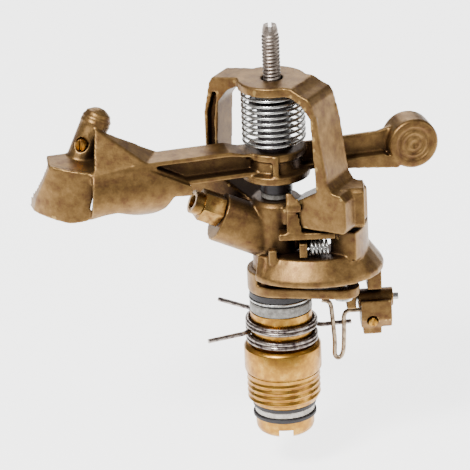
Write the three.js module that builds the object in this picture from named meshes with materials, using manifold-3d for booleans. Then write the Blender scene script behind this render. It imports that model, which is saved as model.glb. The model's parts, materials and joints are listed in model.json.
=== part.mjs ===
// An impact sprinkler with a part-circle trip, in millimetres, +Z up.
// The origin lies on the turning axis at the lowest face. The nozzle and the drive spoon point along -X.
import * as THREE from "three";
import { mergeVertices } from "three/addons/utils/BufferGeometryUtils.js";
import { ConvexGeometry } from "three/addons/geometries/ConvexGeometry.js";
import Module from "manifold-3d";

// Driving dimensions.
const CLEARANCE = 0.3; // running gap between a shaft and its hole
const FRONT = -14; // degrees: the trip mechanism is laid out square to this direction

const BEARING = {
  tubeR: 6.5,
  tubeBore: 5.2,
  tubeTop: 47.6,
  flangeR: 8.35,
  flangeTop: 4.9,
  flangeFoot: 7.1,
  slotWide: 4,
  slotDeep: 2.6,
  threadR: 10.48,
  threadLow: 9.5,
  threadTop: 18.6,
  barrelR: 11.04,
  barrelTop: 27.3,
  neckR: 8.8,
  neckTop: 37.4,
  springRoomR: 7.85,
  springRoomLow: 14,
};
const BEARING_COIL = { meanR: 7.2, wireR: 0.42, low: 14.7, high: 36.7, turns: 6 };
// Each washer: inner radius, outer radius, lower face, upper face.
const WASHERS = {
  lower_rubber_washer: [6.8, 9.06, 5.0, 6.1],
  lower_bearing_washer: [6.8, 8.5, 6.2, 8.1],
  sleeve_rubber_washer: [6.8, 9.06, 8.2, 9.4],
  upper_bearing_washer: [6.8, 8.9, 37.5, 40.4],
  upper_friction_washer: [6.8, 8.6, 40.5, 41.0],
  upper_steel_washer: [6.8, 9.1, 41.1, 41.8],
  upper_rubber_seal: [6.8, 8.9, 41.9, 43.8],
  arm_lower_washer: [2.9, 4.3, 71.9, 73.4],
  arm_upper_washer: [2.9, 5.0, 101.5, 103.0],
};
const COLLAR = { wireR: 0.6, meanR: 9.72, pitch: 1.24 };
const COLLARS = {
  upper_stop_collar: { low: 31.95, lowLeg: 190, highLeg: 126, legR: 23 },
  lower_stop_collar: { low: 28.05, lowLeg: 75, highLeg: -4, legR: 20.2 },
};

const BODY = {
  low: 43.9,
  collarR: 9.3,
  earTop: 47,
  leftRimTop: 50.4,
  columnR: 7.4,
  columnTop: 71.8,
  passageR: 5.2,
  passageTop: 60.5,
};
const BARREL = { rise: 27, axisLow: 61, lobeR: 5.3, lobeDrop: 3.5, end: 18.5, boreR: 3.6 };
const NOZZLE = {
  shankR: 3.3,
  shankLow: 11,
  hexFlats: 8.2,
  hexLow: 18.8,
  hexTop: 25,
  tipR: 3.4,
  tip: 27.4,
  boreR: 1.9,
};
const LEG = {
  innerR: 15.3,
  shoulderR: 25.6,
  shoulderLow: 66,
  shoulderTop: 77.6,
  flareR: 20.8,
  midHeight: 96,
  squareHeadR: 18,
  headTop: 106.4,
  headLow: 101.6,
  pocketDeep: 2.3,
};
const NEAR_LEG = { azimuth: -44, halfWide: 6.8, headR: 15.9 };
const FAR_LEG = { azimuth: 136, halfWide: 4.6, headR: 18 };
const SHOULDER = { x: [12.8, 24.4], y: [-13.8, -6], z: [66, 77.9] }; // square to FRONT
const BRIDGE = { low: 104.6, top: 107.4, padR: 9.9 };
const PIN = { r: 2.6, low: 67.6, top: 123, taper: 3.5, tipR: 1.9 };

const HUB = { r: 9.8, low: 78.3, rimTop: 80.5, waistR: 7.4, waistTop: 84.4, drumR: 8.7, top: 87, boreR: 5 };
const BUSHING = { r: 4.7, boreR: 2.9, low: 73.7, flangeLow: 99.6, top: 101.1, flangeR: 6.85 };
const ARM_COIL = { meanR: 8.7, wireR: 0.5, low: 88.4, high: 103.4, turns: 8.8 };
const BEAM = { low: 80.2, top: 88.2, flange: 1.3, halfWide: 4.5, halfWeb: 0.9 };
const WEIGHT = { x: 39.6, z: 83.4, r: 7.3, halfThick: 4 };
const VANE_THICK = 1.6;
const BOSS = { foot: [-54.6, 8.4, 86], head: [-48.9, 9.8, 97.3], r: 4.2 };
const SCREW = { from: [-51.7, 9.2, 92.4], toward: [-0.62, -0.785, 0], headR: 1.6 };

const LEVER = { azimuth: -38, low: 50, waist: 51.6, top: 57.2, pinR: 1.5, pinAt: 19.5, inset: 4 };
const TRIP = { azimuth: -11, z: 38.8, blockIn: 22, blockOut: 32, pinR: 1, wireR: 0.7, barrelR: 2.7 };
const TRIP_COIL = { meanR: 2, wireR: 0.32, from: 8.6, to: 13.9, toward: 11.3, z: 60, turns: 5 };

const wasm = await Module();
wasm.setup();
const rad = THREE.MathUtils.degToRad;

// ---- plain geometry helpers -------------------------------------------------------------------

// A closed geometry as a manifold-3d solid, turned right side out.
function solid(geometry) {
  const bare = geometry.clone();
  bare.deleteAttribute("normal");
  bare.deleteAttribute("uv");
  const merged = mergeVertices(bare, 1e-4);
  const corners = merged.index.array;
  const kept = [];
  for (let i = 0; i < corners.length; i += 3) {
    const [a, b, c] = [corners[i], corners[i + 1], corners[i + 2]];
    if (a !== b && b !== c && c !== a) kept.push(a, b, c);
  }
  const vertProperties = merged.attributes.position.array;
  const facing = (corners) => {
    const triVerts = new Uint32Array(corners);
    return new wasm.Manifold(new wasm.Mesh({ numProp: 3, vertProperties, triVerts }));
  };
  const made = facing(kept);
  return made.volume() > 0 ? made : facing(kept.toReversed());
}

function join(...geometries) {
  return geometries.map(solid).reduce((whole, next) => whole.add(next));
}

function cut(whole, ...geometries) {
  return geometries.map(solid).reduce((rest, next) => rest.subtract(next), whole);
}

function meshOf(name, body, finish) {
  const made = body.getMesh();
  const geometry = new THREE.BufferGeometry();
  geometry.setAttribute("position", new THREE.BufferAttribute(new Float32Array(made.vertProperties), 3));
  geometry.setIndex(new THREE.BufferAttribute(new Uint32Array(made.triVerts), 1));
  geometry.computeVertexNormals();
  const mesh = new THREE.Mesh(geometry, finish);
  mesh.name = name;
  return mesh;
}

// A profile of [radius, height] points turned about Z. It starts and ends on the axis or closes on itself.
function lathe(profile, sides = 40) {
  const points = profile.map(([r, z]) => new THREE.Vector2(r, z));
  return new THREE.LatheGeometry(points, sides).rotateX(Math.PI / 2);
}

function disc(radius, low, high, sides = 40) {
  return lathe([[0, low], [radius, low], [radius, high], [0, high]], sides);
}

function ring(inner, outer, low, high, sides = 40) {
  return lathe([[inner, low], [outer, low], [outer, high], [inner, high], [inner, low]], sides);
}

function shapeOf(outline) {
  return new THREE.Shape(outline.map(([x, y]) => new THREE.Vector2(x, y)));
}

// An outline in XY, drawn up from low to high.
function prism(outline, low, high) {
  const options = { depth: high - low, bevelEnabled: false };
  return new THREE.ExtrudeGeometry(shapeOf(outline), options).translate(0, 0, low);
}

// An outline in XZ, drawn across from y = near to y = far.
function sidePrism(outline, near, far) {
  return prism(outline, -far, -near).rotateX(Math.PI / 2);
}

// An outline in YZ, drawn along from x = start to x = end.
function endPrism(outline, start, end) {
  const axes = new THREE.Matrix4().makeBasis(
    new THREE.Vector3(0, 1, 0),
    new THREE.Vector3(0, 0, 1),
    new THREE.Vector3(1, 0, 0),
  );
  return prism(outline, start, end).applyMatrix4(axes);
}

function block([x0, x1], [y0, y1], [z0, z1]) {
  const box = new THREE.BoxGeometry(x1 - x0, y1 - y0, z1 - z0);
  return box.translate((x0 + x1) / 2, (y0 + y1) / 2, (z0 + z1) / 2);
}

function hull(points) {
  return new ConvexGeometry(points.map((p) => new THREE.Vector3(...p)));
}

// A straight rod between two points.
function rod(from, to, radius, sides = 24) {
  const start = new THREE.Vector3(...from);
  const along = new THREE.Vector3(...to).sub(start);
  const length = along.length();
  const turn = new THREE.Quaternion().setFromUnitVectors(new THREE.Vector3(0, 1, 0), along.normalize());
  const geometry = new THREE.CylinderGeometry(radius, radius, length, sides);
  return geometry.translate(0, length / 2, 0).applyQuaternion(turn).translate(...from);
}

// A round wire along a curve.
function wire(curve, radius, steps, sides = 5) {
  const section = new THREE.Shape().absarc(0, 0, radius, 0, 2 * Math.PI);
  const outline = shapeOf(section.getPoints(sides).slice(0, sides).map((p) => [p.x, p.y]));
  return new THREE.ExtrudeGeometry(outline, { steps, extrudePath: curve, bevelEnabled: false });
}

function polar(azimuth, radius) {
  return [radius * Math.cos(rad(azimuth)), radius * Math.sin(rad(azimuth))];
}

function arc(radius, from, to, steps, centre = [0, 0]) {
  return Array.from({ length: steps + 1 }, (_, i) => {
    const [x, y] = polar(from + ((to - from) * i) / steps, radius);
    return [x + centre[0], y + centre[1]];
  });
}

class Helix extends THREE.Curve {
  constructor(radius, low, high, turns, start = 0) {
    super();
    Object.assign(this, { radius, low, high, turns, start });
  }
  getPoint(t, target = new THREE.Vector3()) {
    const angle = rad(this.start) + 2 * Math.PI * this.turns * t;
    const z = this.low + (this.high - this.low) * t;
    return target.set(this.radius * Math.cos(angle), this.radius * Math.sin(angle), z);
  }
}

function coil({ meanR, wireR, low, high, turns }, start = 0, stepsPerTurn = 14) {
  return wire(new Helix(meanR, low, high, turns, start), wireR, Math.round(turns * stepsPerTurn));
}

// ---- finishes ---------------------------------------------------------------------------------

function finish(color, roughness, metalness) {
  return new THREE.MeshStandardMaterial({ color, roughness, metalness });
}
const castBrass = finish(0x9c7a3c, 0.55, 0.85);
const turnedBrass = finish(0xd2a445, 0.3, 1);
const springSteel = finish(0xc9cbcc, 0.25, 1);
const darkSteel = finish(0x55504c, 0.45, 0.9);
const blackRubber = finish(0x1c1a1b, 0.8, 0);
const palePlastic = finish(0xcfd0c8, 0.6, 0);
const darkPlastic = finish(0x2a2226, 0.6, 0);

// ---- bearing ----------------------------------------------------------------------------------

function bearingSleeve() {
  const b = BEARING;
  const bore = b.tubeR + CLEARANCE;
  const profile = [
    [bore, b.threadLow],
    [b.threadR - 0.9, b.threadLow],
    [b.threadR, b.threadLow + 1.3],
    [b.threadR, b.threadTop],
    [b.barrelR, b.threadTop + 0.3],
    [b.barrelR, b.barrelTop],
    [b.neckR, b.barrelTop],
    [b.neckR, b.neckTop],
    [b.springRoomR, b.neckTop],
    [b.springRoomR, b.springRoomLow],
    [bore, b.springRoomLow],
    [bore, b.threadLow],
  ];
  return join(lathe(profile, 36));
}

function bearingTube() {
  const b = BEARING;
  const profile = [
    [b.tubeBore, 0],
    [b.flangeFoot, 0],
    [b.flangeR, 1.4],
    [b.flangeR, b.flangeTop],
    [b.tubeR, b.flangeTop],
    [b.tubeR, b.tubeTop],
    [b.tubeBore, b.tubeTop],
    [b.tubeBore, 0],
  ];
  const slot = block([-b.slotWide / 2, b.slotWide / 2], [-12, 12], [-1, b.slotDeep]).rotateZ(rad(FRONT));
  return cut(join(lathe(profile, 32)), slot);
}

function stopCollar({ low, lowLeg, highLeg, legR }) {
  const { wireR, meanR, pitch } = COLLAR;
  const sweep = 720 + lowLeg - highLeg; // degrees turned backwards from the low leg to the high one
  const high = low + (pitch * sweep) / 360;
  const points = [];
  points.push([...polar(lowLeg, legR), low], [...polar(lowLeg, meanR + 2.2), low]);
  const steps = Math.round(sweep / 24);
  for (let i = 0; i <= steps; i++) {
    const t = i / steps;
    points.push([...polar(lowLeg - 9 - (sweep - 18) * t, meanR), low + (high - low) * t]);
  }
  points.push([...polar(highLeg, meanR + 2.2), high], [...polar(highLeg, legR), high]);
  const curve = new THREE.CatmullRomCurve3(points.map((p) => new THREE.Vector3(...p)), false, "centripetal");
  return join(wire(curve, wireR, 62));
}

// ---- body -------------------------------------------------------------------------------------

// Places a geometry drawn along +Z, with its own +Y up, on the barrel's axis.
function onBarrelAxis(geometry) {
  const rise = rad(BARREL.rise);
  const axes = new THREE.Matrix4().makeBasis(
    new THREE.Vector3(0, -1, 0),
    new THREE.Vector3(Math.sin(rise), 0, Math.cos(rise)),
    new THREE.Vector3(-Math.cos(rise), 0, Math.sin(rise)),
  );
  return geometry.applyMatrix4(axes).translate(0, 0, BARREL.axisLow);
}

function barrelOutline(inset = 0) {
  const r = BARREL.lobeR - inset;
  return [...arc(r, 0, 180, 14), ...arc(r, 180, 360, 14, [0, -BARREL.lobeDrop])];
}

// One leg of the bridge with its shoulder, drawn along +X and turned to its azimuth.
function leg({ azimuth, halfWide, headR }) {
  const l = LEG;
  const drop = (l.squareHeadR - headR) * 0.7; // a leg that leans in more has a lower, rounder corner
  const outline = [
    [BODY.columnR - 2, l.shoulderLow],
    [l.shoulderR - 1, l.shoulderLow],
    [l.shoulderR, l.shoulderLow + 1.4],
    [l.shoulderR, l.shoulderTop - 1.8],
    [l.shoulderR - 1.6, l.shoulderTop],
    [l.flareR + 0.6, l.shoulderTop + 0.4],
    [l.flareR - 1, l.shoulderTop + 3],
    [headR + 1.8, l.midHeight],
    [headR, l.headTop - 1.8 - drop],
    [headR - 1, l.headTop - drop],
    [BRIDGE.padR + 2.5, BRIDGE.top - 0.4 - drop * 0.8],
    [BRIDGE.padR - 0.6, BRIDGE.top],
    [4, BRIDGE.top],
    [4, BRIDGE.low],
    [BRIDGE.padR - 0.6, BRIDGE.low],
    [l.innerR - 3, l.headLow + 1.4],
    [l.innerR, l.headLow - 2.4],
    [l.innerR + 1.2, l.shoulderTop],
    [BODY.columnR - 2, BODY.columnTop - 0.6],
  ];
  return sidePrism(outline, -halfWide, halfWide).rotateZ(rad(azimuth));
}

// The long hollows that leave the far leg an H in section.
function legPockets({ azimuth, halfWide, headR }) {
  const l = LEG;
  const outline = [
    [l.innerR + 1.6, l.shoulderTop + 4],
    [l.flareR - 1.8, l.shoulderTop + 4],
    [headR + 0.7, l.midHeight],
    [headR - 1.2, l.headTop - 4],
    [l.innerR + 0.2, l.headTop - 4.6],
    [l.innerR + 1.1, l.midHeight],
  ];
  const floor = halfWide - l.pocketDeep;
  return [-1, 1].map((side) => {
    const [near, far] = side < 0 ? [-halfWide - 1, -floor] : [floor, halfWide + 1];
    return sidePrism(outline, near, far).rotateZ(rad(azimuth));
  });
}

// The squared block that carries the near leg and holds the top of the lever's pin.
function shoulder() {
  const [[x0, x1], [y0, y1], [z0, z1]] = [SHOULDER.x, SHOULDER.y, SHOULDER.z];
  const ease = 1.1;
  const outline = [[y1, z0], [y0 + ease, z0], [y0, z0 + ease], [y0, z1 - ease], [y0 + ease, z1], [y1, z1]];
  return endPrism(outline, x0, x1).rotateZ(rad(FRONT));
}

function bodyCasting() {
  const b = BODY;
  const pivot = polar(LEVER.azimuth, LEVER.pinAt);
  const ear = [...arc(b.collarR, 0, 360, 36), ...arc(4.6, 0, 345, 20, pivot)];
  const rim = [...arc(b.collarR, 96, 210, 12), ...arc(b.columnR - 1, 210, 96, 12)];
  const lug = block([5.7, 8], [-13.4, -4], [57.6, 61.9]).rotateZ(rad(FRONT));
  const whole = join(
    ring(BEARING.tubeR + CLEARANCE, b.collarR, b.low, b.earTop),
    hull([...ear.map(([x, y]) => [x, y, b.low + 0.1]), ...ear.map(([x, y]) => [x, y, b.earTop])]),
    prism(rim, b.earTop - 0.5, b.leftRimTop),
    lathe([[0, b.earTop - 0.5], [b.columnR, b.earTop - 0.5], [b.columnR, b.columnTop - 1.2],
      [b.columnR - 1.2, b.columnTop], [0, b.columnTop]]),
    onBarrelAxis(prism(barrelOutline(), 2, BARREL.end)),
    lug,
    leg(NEAR_LEG),
    leg(FAR_LEG),
    shoulder(),
    // A rib behind the trip spring ties the column to the shoulder.
    block([5, 12.6], [-6, 4.4], [57.6, 68]).rotateZ(rad(FRONT)),
    disc(BRIDGE.padR, BRIDGE.low, BRIDGE.top, 36),
  );
  const holeR = LEVER.pinR + CLEARANCE;
  return cut(
    whole,
    disc(BEARING.tubeR + CLEARANCE, b.low - 1, BEARING.tubeTop + CLEARANCE),
    disc(b.passageR, b.low, b.passageTop),
    onBarrelAxis(rod([0, 0, -1], [0, 0, BARREL.end + 1], BARREL.boreR)),
    disc(PIN.r + CLEARANCE, PIN.low - CLEARANCE, BRIDGE.top + 1, 24),
    rod([...pivot, b.low - 1], [...pivot, LEG.shoulderLow + 3], holeR, 16),
    ...legPockets(FAR_LEG),
  );
}

function nozzle() {
  const n = NOZZLE;
  const hexR = n.hexFlats / 2 / Math.cos(rad(30));
  return cut(
    join(
      onBarrelAxis(rod([0, 0, n.shankLow], [0, 0, n.hexLow + 0.2], n.shankR)),
      onBarrelAxis(prism(arc(hexR, 0, 300, 5), n.hexLow, n.hexTop)),
      onBarrelAxis(rod([0, 0, n.hexTop - 0.2], [0, 0, n.tip], n.tipR)),
    ),
    onBarrelAxis(rod([0, 0, n.shankLow - 1], [0, 0, n.tip + 1], n.boreR, 16)),
  );
}

function fulcrumPin() {
  const p = PIN;
  const slot = block([-0.5, 0.5], [-4, 4], [p.top - 1.8, p.top + 1]).rotateZ(rad(FRONT));
  const profile = [[0, p.low], [p.r, p.low], [p.r, p.top - p.taper], [p.tipR, p.top - 0.6], [p.tipR - 0.5, p.top],
    [0, p.top]];
  return cut(join(lathe(profile, 24)), slot);
}

// ---- arm --------------------------------------------------------------------------------------

function armHub() {
  const h = HUB;
  return [
    lathe([[0, h.low], [h.r, h.low], [h.r, h.rimTop], [h.waistR, h.rimTop + 0.6], [h.waistR, h.waistTop],
      [h.drumR, h.waistTop + 0.5], [h.drumR, h.top], [0, h.top]], 36),
    block([6.6, 9.2], [-0.9, 0.9], [h.rimTop - 0.5, h.top - 0.4]).rotateZ(rad(FRONT - 90)),
  ];
}

// The beam to the spoon: an open channel whose lower flange rises to meet the upper one.
function spoonBeam() {
  const b = BEAM;
  const root = -HUB.waistR + 1;
  const clear = -ARM_COIL.meanR - 1.2; // inside this the beam stays below the spring
  const knee = -27;
  const meet = -40.2;
  const web = [[root, b.low], [knee, b.low], [meet, b.top - 1], [meet, b.top], [-14, b.top], [clear, HUB.top],
    [root, HUB.top]];
  const upper = [[root, HUB.top - b.flange], [-14, b.top - b.flange], [-42, b.top - b.flange], [-42, b.top],
    [-14, b.top], [clear, HUB.top], [root, HUB.top]];
  const lower = [[root, b.low], [knee, b.low], [meet - 1, b.top - b.flange], [meet + 2, b.top - 0.4],
    [knee + 0.4, b.low + b.flange], [root, b.low + b.flange]];
  return [
    sidePrism(web, -b.halfWeb, b.halfWeb),
    sidePrism(upper, -b.halfWide, b.halfWide),
    sidePrism(lower, -b.halfWide, b.halfWide),
  ];
}

function weightBeam() {
  const b = BEAM;
  const w = WEIGHT;
  const root = HUB.waistR - 1;
  const web = [[root, b.low], [w.x - 4, w.z - w.r + 1], [w.x - 4, w.z + w.r - 2], [30, b.top - 1],
    [ARM_COIL.meanR + 1.2, HUB.top], [root, HUB.top]];
  const ledge = [[root, b.low], [w.x - 4.5, w.z - w.r + 0.6], [w.x - 4.5, w.z - w.r + 2.6], [31, b.low + b.flange],
    [root, b.low + b.flange]];
  const rim = (side) => [
    rod([w.x, side * (w.halfThick - 0.2), w.z], [w.x, side * (w.halfThick + 0.5), w.z], w.r - 0.5, 28),
  ];
  return [
    sidePrism(web, -b.halfWeb, b.halfWeb),
    sidePrism(ledge, -b.halfWide + 0.4, b.halfWide - 0.4),
    rod([w.x, -w.halfThick, w.z], [w.x, w.halfThick, w.z], w.r, 28),
    ...rim(1),
    ...rim(-1),
  ];
}

function weightRecesses() {
  const w = WEIGHT;
  return [-1, 1].map((side) =>
    rod([w.x, side * (w.halfThick + 0.05), w.z], [w.x, side * (w.halfThick + 2), w.z], w.r - 1.6, 28),
  );
}

// The curved spoon that turns the jet sideways: a wall bent in plan, trimmed to its side outline.
function spoonWall() {
  const thick = VANE_THICK;
  const centre = [-50.5, 15.2];
  const radius = 19.3;
  const band = [...arc(radius, 184, 262, 16, centre), ...arc(radius - thick, 262, 184, 16, centre)];
  const side = [[-52, 87], [-64.4, 88.9], [-67.9, 77.6], [-68.4, 73.6], [-60, 72.1], [-55.4, 73]];
  return solid(prism(band, 70, 92)).intersect(solid(sidePrism(side, -20, 30)));
}

// The vane under the beam that the jet pulls down on: a wall bent in section, trimmed to its side outline.
function vaneWall() {
  const radius = 9.4;
  const centre = [2.5, 80.5];
  const band = [...arc(radius, 118, 258, 18, centre), ...arc(radius - VANE_THICK, 258, 118, 18, centre)];
  const side = [[-54, 86.4], [-43, 88.2], [-39.5, 87.4], [-26, 80.6], [-25.6, 77.6], [-31, 78], [-33.2, 74.2],
    [-37.4, 71], [-42.3, 72.8], [-47.2, 74.8], [-51, 74.4], [-54.8, 73.2]];
  return solid(endPrism(band, -60, -20)).intersect(solid(sidePrism(side, -20, 30)));
}

// Two thin plates that close the top of the vane and of the spoon.
function endPlates() {
  const thick = 1.7;
  const sheet = (corners) => hull([...corners, ...corners.map(([x, y, z]) => [x, y, z - thick])]);
  return [
    sheet([[-38, -4.5, 88.2], [-33.5, 4.5, 88.4], [-50.4, 5.4, 97.2], [-53.4, -4.6, 86.6]]),
    sheet([[-53.4, -4.6, 86.6], [-64.6, 3.1, 88.8], [-63.4, 10.6, 88.8], [-52, 11, 88.8]]),
    sheet([[-53.4, -4.6, 86.6], [-52, 11, 88.8], [-40, 4.5, 88.2], [-40, -4.4, 88]]),
  ];
}


function alongScrew(distance) {
  return SCREW.from.map((value, i) => value + SCREW.toward[i] * distance);
}

function armCasting() {
  const b = BOSS;
  const dome = new THREE.SphereGeometry(b.r, 16, 8).translate(...b.head);
  const whole = join(
    ...armHub(),
    ...spoonBeam(),
    ...weightBeam(),
    ...endPlates(),
    rod(b.foot, b.head, b.r, 16),
    dome,
  );
  return cut(
    whole.add(spoonWall()).add(vaneWall()),
    disc(HUB.boreR, HUB.low - 1, HUB.top + 1),
    rod(alongScrew(-1), alongScrew(9), SCREW.headR + CLEARANCE, 16),
    ...weightRecesses(),
  );
}

function adjustingScrew() {
  const head = rod(alongScrew(-0.6), alongScrew(4.9), SCREW.headR, 16);
  const groove = block([-1, 1], [-0.3, 0.3], [-3, 3]);
  groove.rotateZ(Math.atan2(SCREW.toward[1], SCREW.toward[0]));
  groove.translate(...alongScrew(5.2));
  return cut(join(head), groove);
}

function armBushing() {
  const b = BUSHING;
  return join(lathe([[b.boreR, b.low], [b.r, b.low], [b.r, b.flangeLow], [b.flangeR, b.flangeLow],
    [b.flangeR, b.top], [b.boreR, b.top], [b.boreR, b.low]], 24));
}

// ---- trip mechanism ---------------------------------------------------------------------------

// The outline of the reversing lever's plate, with its outer edge brought in by inset.
function leverOutline(inset) {
  const outer = [[-2, 28.4], [-8, 29.3], [-16, 29.7], [-24, 29.7], [-32, 29.2], [-40, 28.2], [-50, 26.2], [-60, 23.8],
    [-70, 21.4], [-80, 19.2], [-92, 17.2], [-104, 15.6], [-116, 14.4], [-128, 13.2], [-140, 12.2]];
  return [
    ...arc(8.2, -140, -66, 12),
    polar(-50, 9.4),
    polar(-30, 12.6),
    polar(-12, 16.4),
    polar(-2, 18.2),
    ...outer.map(([azimuth, radius]) => polar(azimuth, Math.max(radius - inset, 10.4))),
  ];
}

// A closed solid between two outlines with the same number of points.
function loft(lower, upper, low, high) {
  const count = lower.length;
  const flat = lower.map(([x, y]) => new THREE.Vector2(x, y));
  if (THREE.ShapeUtils.isClockWise(flat)) return loft(lower.toReversed(), upper.toReversed(), low, high);
  const points = [...lower.map(([x, y]) => [x, y, low]), ...upper.map(([x, y]) => [x, y, high])];
  const caps = THREE.ShapeUtils.triangulateShape(flat, []);
  const faces = [];
  for (const [a, b, c] of caps) faces.push([c, b, a], [a + count, b + count, c + count]);
  for (let i = 0; i < count; i++) {
    const next = (i + 1) % count;
    faces.push([i, next, next + count], [i, next + count, i + count]);
  }
  const geometry = new THREE.BufferGeometry();
  geometry.setAttribute("position", new THREE.Float32BufferAttribute(points.flat(), 3));
  geometry.setIndex(faces.flat());
  return geometry;
}

function reversingLever() {
  const pivot = polar(LEVER.azimuth, LEVER.pinAt);
  const inFront = (...sizes) => block(...sizes).rotateZ(rad(FRONT));
  const onTrip = (...sizes) => block(...sizes).rotateZ(rad(TRIP.azimuth));
  const riser = [...arc(25.6, -2, -47, 8), ...arc(17.1, -47, -2, 8)];
  // The dog: a small stop that leans back over the shelf, under the arm's hub.
  const dog = [[-12.6, 64.8], [-10.4, 64.8], [-10.2, 73.4], [-10.4, 76.6], [-11.2, 76.8], [-12.9, 73], [-12.8, 71.4],
    [-11.9, 71]];
  const whole = join(
    prism(leverOutline(0), LEVER.low, LEVER.waist),
    loft(leverOutline(0), leverOutline(LEVER.inset), LEVER.waist - 0.01, LEVER.top),
    prism(riser, LEVER.top - 1, 65),
    inFront([-3, -0.6], [-12.2, -9], [LEVER.top - 1.5, LEVER.top + 2.6]),
    inFront([0, 16], [-12.9, -8.3], [62.8, 65]),
    endPrism(dog, 2.4, 6.8).rotateZ(rad(FRONT)),
    onTrip([24.6, 28.8], [-3, 3], [TRIP.z + TRIP.barrelR + 0.6, LEVER.low + 0.5]),
    onTrip([18.6, 21.4], [-2.6, 2.6], [TRIP.z - 2.4, LEVER.low + 0.5]),
  );
  return cut(
    whole,
    rod([...pivot, 40], [...pivot, 70], LEVER.pinR + CLEARANCE, 16),
    block([0, 30], [-NEAR_LEG.halfWide - 0.6, 12], [65.1, 80]).rotateZ(rad(NEAR_LEG.azimuth)),
    rod([...polar(TRIP.azimuth, 17), TRIP.z], [...polar(TRIP.azimuth, 23), TRIP.z], TRIP.pinR + CLEARANCE, 12),
  );
}

function leverPivotPin() {
  const pivot = polar(LEVER.azimuth, LEVER.pinAt);
  return join(
    rod([...pivot, 42.7], [...pivot, 43.7], 2.7, 20),
    rod([...pivot, 43.5], [...pivot, LEG.shoulderLow + 2.6], LEVER.pinR, 16),
  );
}

// Radial, tangential and vertical sizes, turned to the trip's azimuth.
function onTripAxis(geometry) {
  return geometry.rotateZ(rad(TRIP.azimuth));
}

function tripBlock() {
  const t = TRIP;
  const body = [[-3.9, t.z + 0.4], [3.9, t.z + 0.4], [4.2, 33.4], [2.6, 30.6], [-2.6, 30.6], [-4.2, 33.4]];
  const whole = join(
    onTripAxis(rod([t.blockIn, 0, t.z], [t.blockOut, 0, t.z], t.barrelR, 20)),
    onTripAxis(endPrism(body, t.blockIn + 0.6, t.blockOut - 0.6)),
    onTripAxis(block([t.blockIn + 1.2, t.blockIn + 6.4], [-2.4, 2.4], [28.4, 31])),
  );
  return cut(
    whole,
    onTripAxis(rod([t.blockIn - 1, 0, t.z], [t.blockOut + 1, 0, t.z], t.pinR + CLEARANCE, 12)),
    onTripAxis(rod([t.blockIn - 1, 0, t.z - 3.6], [t.blockOut - 3, 0, t.z - 3.6], t.wireR + CLEARANCE, 12)),
    onTripAxis(rod([t.blockIn + 3.8, -8, 33], [t.blockIn + 3.8, -1.6, 33], 1.3 + CLEARANCE, 14)),
  );
}

function tripPivotPin() {
  const t = TRIP;
  return join(onTripAxis(rod([18.8, 0, t.z], [t.blockOut + 1.6, 0, t.z], t.pinR, 12)));
}

function tripClampScrew() {
  const t = TRIP;
  const head = onTripAxis(rod([t.blockIn + 3.8, -5, 33], [t.blockIn + 3.8, -1.9, 33], 1.3, 14));
  const slot = onTripAxis(block([t.blockIn + 3.5, t.blockIn + 4.1], [-6, -4.4], [31, 35]));
  return cut(join(head), slot);
}

// A hairpin that hangs beside the collars: out of the block, down, round and up to an inward hook.
function tripWire() {
  const t = TRIP;
  const z = t.z - 3.6;
  const route = [
    [t.blockOut - 4, z], [t.blockIn - 0.5, z], [19, z - 0.1], [17.9, z - 1.6], [17.8, 30], [17.5, 24], [16.9, 21.6],
    [15.8, 20.8], [14.9, 22], [15, 26], [14.6, 33], [14.2, 37.2], [13.3, 38.5], [11.7, 38.9],
  ];
  const points = route.map(([radius, height]) => new THREE.Vector3(...polar(t.azimuth, radius), height));
  const curve = new THREE.CatmullRomCurve3(points, false, "centripetal");
  return join(wire(curve, t.wireR, 40));
}

function tripSpring() {
  const c = TRIP_COIL;
  const lying = coil({ ...c, low: c.from, high: c.to }, 0, 9).rotateY(Math.PI / 2);
  return join(lying.translate(0, -c.toward, c.z).rotateZ(rad(FRONT)));
}

// ---- the assembly -----------------------------------------------------------------------------

const sprinkler = new THREE.Group();
const washerFinish = {
  lower_rubber_washer: blackRubber,
  lower_bearing_washer: palePlastic,
  sleeve_rubber_washer: blackRubber,
  upper_bearing_washer: palePlastic,
  upper_friction_washer: blackRubber,
  upper_steel_washer: springSteel,
  upper_rubber_seal: blackRubber,
  arm_lower_washer: palePlastic,
  arm_upper_washer: palePlastic,
};

sprinkler.add(meshOf("bearing_sleeve", bearingSleeve(), turnedBrass));
sprinkler.add(meshOf("bearing_spring", join(coil(BEARING_COIL, 0, 14)), springSteel));
sprinkler.add(meshOf("bearing_tube", bearingTube(), turnedBrass));
for (const [name, [inner, outer, low, high]] of Object.entries(WASHERS)) {
  sprinkler.add(meshOf(name, join(ring(inner, outer, low, high, 28)), washerFinish[name]));
}
for (const [name, collar] of Object.entries(COLLARS)) {
  sprinkler.add(meshOf(name, stopCollar(collar), darkSteel));
}
sprinkler.add(meshOf("body_casting", bodyCasting(), castBrass));
sprinkler.add(meshOf("nozzle", nozzle(), turnedBrass));
sprinkler.add(meshOf("fulcrum_pin", fulcrumPin(), springSteel));
sprinkler.add(meshOf("arm_casting", armCasting(), castBrass));
sprinkler.add(meshOf("arm_bushing", armBushing(), darkPlastic));
sprinkler.add(meshOf("arm_spring", join(coil(ARM_COIL, 0, 12)), springSteel));
sprinkler.add(meshOf("vane_adjusting_screw", adjustingScrew(), turnedBrass));
sprinkler.add(meshOf("reversing_lever", reversingLever(), castBrass));
sprinkler.add(meshOf("lever_pivot_pin", leverPivotPin(), springSteel));
sprinkler.add(meshOf("trip_spring", tripSpring(), springSteel));
sprinkler.add(meshOf("trip_block", tripBlock(), castBrass));
sprinkler.add(meshOf("trip_pivot_pin", tripPivotPin(), springSteel));
sprinkler.add(meshOf("trip_wire", tripWire(), darkSteel));
sprinkler.add(meshOf("trip_clamp_screw", tripClampScrew(), turnedBrass));

export default sprinkler;
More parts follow.
